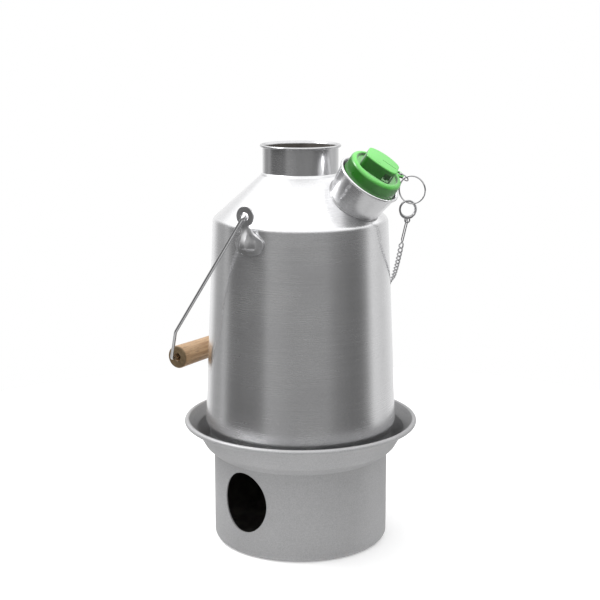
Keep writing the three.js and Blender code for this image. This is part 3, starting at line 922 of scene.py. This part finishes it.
def bail(metal):
    hook = 2.59  # the bend's radius, so that the hooked end is almost a half circle
    half = [
        (15, LUG_FACE - 2.55),
        (0, LUG_FACE - 2.55, hook),
        (0, LUG_FACE + 2.65, hook),
        (116.6, 67.3, 9),
        (BAIL_REACH, 47, 7),
    ]
    mirrored = [(corner[0], -corner[1], *corner[2:]) for corner in half][::-1]
    path = []
    for along, sideways in rounded_path(half + mirrored):
        path.append(PIVOT + BAIL_DOWN * along + Vector((0, sideways, 0)))
    wire = make("bail_wire_bent", swept(path, BAIL_WIRE_RADIUS, 20))
    finished(wire, "bail", [metal], ["bail_wire"])


def grip(timber):
    half = GRIP_LENGTH / 2
    section = rounded_path([
        (GRIP_BORE_RADIUS + 0.5, -half),
        (GRIP_RADIUS, -half, 1.5),
        (GRIP_RADIUS, half, 1.5),
        (GRIP_BORE_RADIUS + 0.5, half),
        (GRIP_BORE_RADIUS, half - 0.5),
        (GRIP_BORE_RADIUS, -half + 0.5),
    ])
    waist = 0.45  # how much thinner the grip is at its middle
    piece_length = 4
    shaped = []
    for a, b in zip(section, section[1:] + section[:1]):
        pieces = max(1, round((b - a).length / piece_length))
        for k in range(pieces):
            spot = a.lerp(b, k / pieces)
            share = min(1, abs(spot.y) / half)
            if spot.x > GRIP_RADIUS - 0.01:
                spot.x -= waist * (1 - share * share)
            shaped.append(spot)
    lying = frame_of(Vector((1, 0, 0)), Vector((0, 0, -1)), Vector((0, 1, 0)))
    wood = make("bail_grip_turned", moved(turned(shaped, 72), lying), Matrix.Translation(GRIP_CENTRE))
    finished(wood, "grip", [timber], ["bail_grip"])


# ---- Stopper ----

def box_points(low, high):
    return [Vector(low), Vector((high[0], low[1])), Vector(high), Vector((low[0], high[1]))]


def stopper_body():
    """The outline of the turned part: a hollow plug with three sealing ribs, and a cup-shaped top."""
    hollow, hollow_top = 15.6, 3
    foot_radius, foot = 18.9, -16
    neck_radius, neck = 21.4, -1.2
    rib = 0.7
    ribs = []
    for middle in (-12.2, -8.6, -5.0):
        radius = foot_radius + (middle - foot) * (neck_radius - foot_radius) / (neck - foot)
        ribs += [
            (radius, middle - 1.0, 0.5),
            (radius + rib, middle - 0.3, 0.3),
            (radius + rib, middle + 0.3, 0.3),
            (radius + 0.1, middle + 1.0, 0.5),
        ]
    return rounded_path([
        (0, hollow_top),
        (hollow, hollow_top, 0.6),
        (hollow, foot, 0.4),
        (foot_radius, foot, 1.2),
        *ribs,
        (neck_radius, neck, 2),
        (STOPPER_RADIUS, 0.4, 1),
        (STOPPER_RADIUS, STOPPER_RIM, 2.8),
        (17.4, STOPPER_RIM, 0.8),
        (17, STOPPER_FLOOR, 0.6),
        (0, STOPPER_FLOOR),
    ], math.radians(9))


def finger_bar_outline():
    """A bar with round corners, whose two long sides bow out by different amounts."""
    half_length, half_width, corner = 13, 8.2, 4.2
    corners = []
    for sign, bow in ((-1, 2.0), (1, 4.1)):
        corners.append((sign * half_length, sign * half_width, corner))
        for k in range(11):
            share = 0.6 * (1 - k / 5)
            corners.append((sign * half_length * share, sign * (half_width + bow * (1 - share * share))))
        corners.append((-sign * half_length, sign * half_width, corner))
    return rounded_path(corners)


def ear_outline():
    half_width = 3.5
    return rounded_path([
        (STOPPER_RADIUS - 3, -half_width),
        (STOPPER_EAR_REACH + half_width, -half_width, half_width - 0.01),
        (STOPPER_EAR_REACH + half_width, half_width, half_width - 0.01),
        (STOPPER_RADIUS - 3, half_width),
    ])


def stopper_cap(moulding):
    cap = make("stopper_moulding", turned(stopper_body(), 128), SPOUT_FRAME)
    floor, top, ear_low = STOPPER_FLOOR, STOPPER_BAR_TOP, STOPPER_EAR_LOW
    ear_hole = circle_points(2.3, 36, (STOPPER_EAR_REACH, 0))
    airway = circle_points(1.6, 24, (8.2, -5.6))
    outlet = box_points((5.9, -12.4), (11.2, -4.4))
    groove = box_points((-0.5, -0.25), (11.5, 0.25))
    # Each step's operation, turn, outline, lowest level, highest level and rounded edge
    steps = [
        ("UNION", STOPPER_BAR_ANGLE, finger_bar_outline(), floor - 2, top, 1.0),
        ("UNION", STOPPER_EAR_ANGLE, ear_outline(), ear_low, ear_low + STOPPER_EAR_PLATE, 0.3),
        ("DIFFERENCE", STOPPER_EAR_ANGLE, ear_hole, 0, 20, 0.1),
        ("DIFFERENCE", STOPPER_BAR_ANGLE, outlet, floor + 0.8, floor + 6.6, 0.1),
        ("DIFFERENCE", STOPPER_BAR_ANGLE, airway, -1, floor + 1, 0.1),
        ("DIFFERENCE", STOPPER_BAR_ANGLE, groove, top - 0.5, top + 2, 0.1),
    ]
    for operation, angle, outline, low, high, edge in steps:
        shape = moved(bar_shape(outline, low, high, edge), Matrix.Rotation(angle, 4, "Z"))
        combine(cap, make("stopper_step", shape, SPOUT_FRAME), operation)
    shade_smooth(cap.data)
    cap.visible_glossy = False
    finished(cap, "stopper", [moulding], ["stopper_cap"])


def whistle(metal):
    """Two thin discs with a hole, held apart by a ring, up inside the stopper."""
    radius, hole, ring_bore = 15.2, 1.6, 13.6
    sections = {
        "whistle_disc_lower": (hole, -13.6, -12.8),
        "whistle_spacer": (ring_bore, -12.5, -8.5),
        "whistle_disc_upper": (hole, -8.2, -7.4),
    }
    for node, (inner, low, high) in sections.items():
        corners = box_points((inner, low), (radius, high))
        outline = rounded_path([(x, y, 0.15) for x, y in corners], math.radians(30))
        disc = make(node + "_turned", turned(outline, 96), SPOUT_FRAME)
        finished(disc, "stopper", [metal], [node])


# ---- Chain and fittings ----

EAR_HOLE = SPOUT_FRAME @ (horizontal(STOPPER_EAR_ANGLE) * STOPPER_EAR_REACH
                          + UP * (STOPPER_EAR_LOW + STOPPER_EAR_PLATE / 2))
SPLIT_RING_CENTRE = Vector((82.5, 23.4, 274.6))
SPLIT_RING_RADIUS = 10.15
SPLIT_RING_AZIMUTH = math.radians(8)
CLASP_CENTRE = Vector((79.6, 22.6, 260.2))
CLASP_RADIUS = 6.2
CLASP_AZIMUTH = math.radians(50)
CONNECTOR_TOP = Vector((79.35, 22.35, 252.35))
CONNECTOR_FOOT = Vector((74.7, 23.2, 235.5))


def upright_frame(azimuth, origin):
    """Local x along that azimuth and local y upwards."""
    across = horizontal(azimuth)
    return frame_of(across, UP, across.cross(UP), origin)


def fittings(steel, bright_steel):
    def fitting(name, node, shape, place, metal):
        finished(make(name, moved(shape, place)), "stopper", [metal], [node])

    along = Vector((0.89, 0, -0.45)).normalized()
    half_length = 4.2
    place = link_frame(EAR_HOLE + along * (half_length - 0.4), along, Vector((-0.45, -1.2, -0.89)))
    fitting("stopper_link_wire", "stopper_link", oval_link(half_length, 2.6, 0.5), place, steel)

    coil = []
    turns, steps, wire = 1.93, 150, 0.44
    for k in range(steps + 1):
        angle = turns * 2 * math.pi * k / steps
        step_over = smoothstep(angle, 1.75 * math.pi, 2.15 * math.pi) - 0.5
        coil.append(horizontal(angle) * SPLIT_RING_RADIUS + UP * (2 * wire * step_over))
    place = upright_frame(SPLIT_RING_AZIMUTH, SPLIT_RING_CENTRE)
    fitting("split_ring_coil", "split_ring", swept(coil, wire, 10, chamfer=0.1), place, steel)

    # The hook's arc is open towards local +x, where the gate closes it, and is thickest at its foot.
    place = upright_frame(CLASP_AZIMUTH, CLASP_CENTRE)
    opening = 52
    arc, widths = [], []
    for k in range(61):
        angle = math.radians(opening + (360 - 2 * opening) * k / 60)
        arc.append(horizontal(angle) * CLASP_RADIUS)
        widths.append(0.78 + 0.5 * smoothstep(-math.sin(angle), 0.3, 1))
    eye = moved(ring(1.9, 0.5, 40), Matrix.Translation((-0.3, -8.1, 0)))
    fitting("clasp_hook_cast", "clasp_hook", joined([swept(arc, widths, 12), eye]), place, steel)

    gate, widths = [], []
    steps, gate_end, coil_steps = 90, 47, 5
    for k in range(steps + 1):
        angle = math.radians(gate_end * (2 * k / steps - 1))
        gate.append(horizontal(angle) * CLASP_RADIUS)
        in_the_spring = smoothstep(k, 10, 14) * (1 - smoothstep(k, 76, 80))
        widths.append(1.2 - 0.16 * in_the_spring * (1 + math.cos(2 * math.pi * k / coil_steps)))
    fitting("clasp_gate_sprung", "clasp_gate", swept(gate, widths, 14), place, bright_steel)

    along = CONNECTOR_FOOT - CONNECTOR_TOP
    place = link_frame((CONNECTOR_TOP + CONNECTOR_FOOT) / 2, along, horizontal(CLASP_AZIMUTH))
    fitting("connector_link_wire", "connector_link", oval_link(along.length / 2, 1.5, 0.42), place, steel)


# The chain hangs from the connector, meets the shell, and sags round the back to its bracket.
CHAIN_FREE = [
    (74.5, 23.2, 234.4),
    (71.6, 26, 227.2),
    (67.6, 30.4, 219.6),
    (62.6, 36.4, 211.8),
    (57, 43.2, 204.2),
]
# Where it lies on the shell, a point is (azimuth in degrees, height), and (.., .., lift) where it leaves it.
CHAIN_ON_SHELL = [
    (45.5, 196.5),
    (52.5, 187.5),
    (60.5, 177.5),
    (69.5, 166.8),
    (79.5, 156),
    (90.5, 145.2),
    (102, 135.2),
    (113.5, 126.8),
    (125, 120.2),
    (136, 115.4),
    (146, 112.2),
    (154.5, 110.2),
    (162, 109.2),
    (170, 109.2, 0.3),
    (175, 110, 1.2),
    (178.4, 111.2, 2),
]


def chain_points():
    points = [Vector(place) for place in CHAIN_FREE]
    for azimuth, height, *lift in CHAIN_ON_SHELL:
        radius = shell_radius(height) + CHAIN_STANDOFF + sum(lift)
        points.append(horizontal(math.radians(azimuth)) * radius + UP * height)
    return points


def smooth_curve(points, steps=24):
    """Points close together on a smooth curve through these points."""
    padded = [points[0] * 2 - points[1], *points, points[-1] * 2 - points[-2]]
    fine = []
    for p0, p1, p2, p3 in zip(padded, padded[1:], padded[2:], padded[3:]):
        for k in range(steps):
            t = k / steps
            fine.append(0.5 * (2 * p1 + (p2 - p0) * t + (2 * p0 - 5 * p1 + 4 * p2 - p3) * t ** 2
                               + (3 * p1 - p0 - 3 * p2 + p3) * t ** 3))
    return fine + [points[-1]]


def curb_link(steps=28):
    """A link with a twist, so that a row of them lies flat."""
    path = []
    for k in range(steps):
        angle = 2 * math.pi * k / steps
        path.append((LINK_HALF_LENGTH * math.cos(angle), LINK_HALF_WIDTH * math.sin(angle),
                     LINK_TWIST * math.sin(2 * angle)))
    return swept(path, LINK_WIRE, 8, closed=True)


def chain(steel):
    """Twisted curb links along the route, from the ring on the bracket up to the connector."""
    route = smooth_curve(chain_points())[::-1]
    lengths = [0.0]
    for a, b in zip(route, route[1:]):
        lengths.append(lengths[-1] + (b - a).length)
    count = round(lengths[-1] / LINK_PITCH)
    pitch = lengths[-1] / count
    lying_below, hanging_above = 185, 215  # the heights between which the links turn
    hanging_face = horizontal(math.radians(-55))  # where the flat side of a hanging link faces
    link = curb_link()
    link_rise, most_slack = 1.15, 1.1  # how far off the shell a link lies, and how far it may move in
    links = []
    i = 0
    for number in range(count):
        at = (number + 0.5) * pitch
        while lengths[i + 1] < at:
            i += 1
        share = (at - lengths[i]) / (lengths[i + 1] - lengths[i])
        spot = route[i].lerp(route[i + 1], share)
        radial = Vector((spot.x, spot.y, 0)).normalized()
        hanging = smoothstep(spot.z, lying_below, hanging_above)
        facing = radial.lerp(hanging_face, hanging)
        clear = math.hypot(spot.x, spot.y) - shell_radius(spot.z)
        slack = max(0, min(most_slack, clear - link_rise)) * (1 - hanging)
        links.append(moved(link, link_frame(spot - radial * slack, route[i + 1] - route[i], facing)))
    obj = make("stopper_chain_links", joined(links))
    obj.data.materials.append(steel)
    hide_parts("stopper_chain")
    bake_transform(obj)


def bracket(metal, steel):
    loop_x = -shell_radius(BRACKET_HEIGHT) - BRACKET_REACH
    outline = rounded_path([(x, y, 2.5) for x, y in box_points((-9, -5), (9, 5))])
    flat, triangles = plate_mesh(outline, [], 1.0)
    points = []
    for spot in flat:
        height = BRACKET_HEIGHT + spot.y
        radius = shell_radius(height) + 0.9
        points.append(Vector((-math.sqrt(radius * radius - spot.x * spot.x), -spot.x, height)))
    pad = make("bracket_pad", (points, triangles))
    plated(pad, 1.2, 0.3)
    shade_smooth(pad.data)
    finished(pad, "kettle", [metal], ["chain_bracket"])

    root = -shell_radius(BRACKET_HEIGHT) - 0.8
    loop = rounded_path([(root, -4), (loop_x, -4, 3.5), (loop_x, 4, 3.5), (root, 4)])
    wire = swept([(p.x, p.y, BRACKET_HEIGHT) for p in loop], 0.7, 12)
    finished(make("bracket_loop", wire), "kettle", [metal])

    place = upright_frame(0, Vector((loop_x, 0, BRACKET_HEIGHT - 1)))
    end_ring = make("chain_end_ring_wire", moved(ring(2.4, 0.45, 40), place))
    finished(end_ring, "kettle", [steel], ["chain_end_ring"])


# ---- Studio ----

def linear(value):
    """A display brightness from 0 to 1 as light."""
    return value ** 2.2


# The studio round the kettle: degrees from the camera's side, + to its right, and display brightness
STUDIO_BANDS = [
    (-180, 1.0), (-152, 0.98), (-143, 0.86), (-134, 0.68), (-118, 0.63), (-109, 0.74), (-104, 0.62),
    (-97, 0.45), (-84, 0.40), (-60, 0.42), (-48, 0.47), (-41, 0.62), (-25, 0.59), (-8, 0.55), (33, 0.56),
    (45, 0.48), (66, 0.42), (80, 0.43), (90, 0.55), (102, 0.9), (125, 0.84), (150, 0.93), (180, 1.0),
]
BAND_LIGHT = 0.95
CEILING_EDGE = (0.25, 0.55)  # heights of the direction between which the bands give way to the ceiling
CEILING_LIGHT = 1.35
TABLE_EDGE = (-0.70, -0.85)
TABLE_LIGHT = 0.68
FLOOR_RADIUS = 520


def plain_light(value):
    return (value, value, value, 1)


def studio_world():
    """Bands of light round the kettle, a bright ceiling, a light table far below, and a white backdrop."""
    scene.world = bpy.data.worlds.new("studio")
    nodes = Nodes(scene.world, "Background")
    direction = nodes.add("ShaderNodeTexCoord").outputs["Generated"]
    parts = []
    for axis in (horizontal(VIEW_AZIMUTH), horizontal(VIEW_AZIMUTH - math.pi / 2)):
        parts.append(nodes.vector("DOT_PRODUCT", direction, _1=axis).outputs["Value"])
    turn = nodes.between(nodes.maths("ARCTAN2", *parts), -math.pi, math.pi)
    bands = nodes.add("ShaderNodeValToRGB", _0=turn)
    ramp = bands.color_ramp
    for degrees, _ in STUDIO_BANDS[1:-1]:
        ramp.elements.new(degrees / 360 + 0.5)
    for element, (_, value) in zip(ramp.elements, STUDIO_BANDS):
        element.color = plain_light(linear(value) * BAND_LIGHT)
    light = bands.outputs[0]
    height = nodes.add("ShaderNodeSeparateXYZ", _0=direction).outputs["Z"]
    for edge, value in ((TABLE_EDGE, TABLE_LIGHT), (CEILING_EDGE, CEILING_LIGHT)):
        share = nodes.between(height, *edge, interpolation="SMOOTHSTEP")
        light = nodes.mixed(share, light, plain_light(value))
    seen = nodes.add("ShaderNodeLightPath").outputs["Is Camera Ray"]
    nodes.plug(nodes.shader, "Color", nodes.mixed(seen, light, plain_light(1)))
    scene.view_settings.view_transform = "Standard"


def studio_floor():
    sides = 96
    rim = [horizontal(2 * math.pi * k / sides) * FLOOR_RADIUS for k in range(sides)]
    faces = [[0, k + 1, (k + 1) % sides + 1] for k in range(sides)]
    disc = make("studio_floor", ([Vector((0, 0, 0)), *rim], faces))
    nodes = new_material("floor_paper")
    faint = nodes.spread(nodes.noise(nodes.object_place(), 12.0, 3.0), 0.9, 0.92)
    tint = nodes.add("ShaderNodeCombineColor", _0=faint, _1=faint, _2=faint)
    nodes.plug(nodes.shader, "Base Color", tint.outputs[0])
    nodes.constants(Roughness=0.9, Specular_IOR_Level=0.1, Emission_Strength=0.2)
    nodes.constants(Emission_Color=plain_light(1))
    disc.data.materials.append(nodes.owner)
    disc.visible_glossy = False


def softbox(name, place, target, size, power):
    data = bpy.data.lights.new(name, "AREA")
    data.shape = "DISK"
    data.size = size
    data.energy = power
    light = bpy.data.objects.new(name, data)
    scene.collection.objects.link(light)
    light.location = place
    light.rotation_euler = (Vector(target) - Vector(place)).to_track_quat("-Z", "Y").to_euler()


# ---- The model ----

place_camera()
steel = plain_metal("fitting_steel", 0.45, 0.24)
bright_steel = plain_metal("link_steel", 0.78, 0.3)
chain(bright_steel)

spun = spun_metal("kettle_spun", 0.82, 0.26, 0.75)
flue_metal = spun_metal("flue_spun", 0.62, 0.25, 0.7)
satin = spun_metal("base_satin", 0.47, 0.5, 0.0, lines=0.012, edge=0.5, bare=0.45)
# A darker metal for the inside of the dish: painted shade for the recess under the kettle
dish_painted_shade_metal = spun_metal("dish_inside_painted_shade", 0.30, 0.42, 0.3, lines=0.02, edge=0.6, bare=0.8)
collar = spun_metal("spout_spun", 0.80, 0.25, 0.7)
pressed = plain_metal("pressed_plate", 0.78, 0.34)
weld = plain_metal("weld_bead", 0.42, 0.38, 0.08)
thin_sheet = plain_metal("whistle_sheet", 0.72, 0.35)
wire_steel = plain_metal("bail_wire_steel", 0.72, 0.16)
soot = sooty_metal("soot")

fire_base(satin, soot, dish_painted_shade_metal)
outer_shell(spun)
chimney_flue(flue_metal, soot)
collar_seam(pressed)
spout_tube(collar, weld)
handle_lug("front_lug_pressed", "front_handle_lug", pressed, rear=False)
handle_lug("rear_lug_pressed", "rear_handle_lug", pressed, rear=True)
bracket(pressed, steel)
bail(wire_steel)
grip(grip_timber())
stopper_cap(stopper_plastic())
whistle(thin_sheet)
fittings(steel, bright_steel)
studio_world()
studio_floor()
softbox("key_light", (-0.9, -0.5, 1.5), (0, 0, 0.2), 0.7, 14)
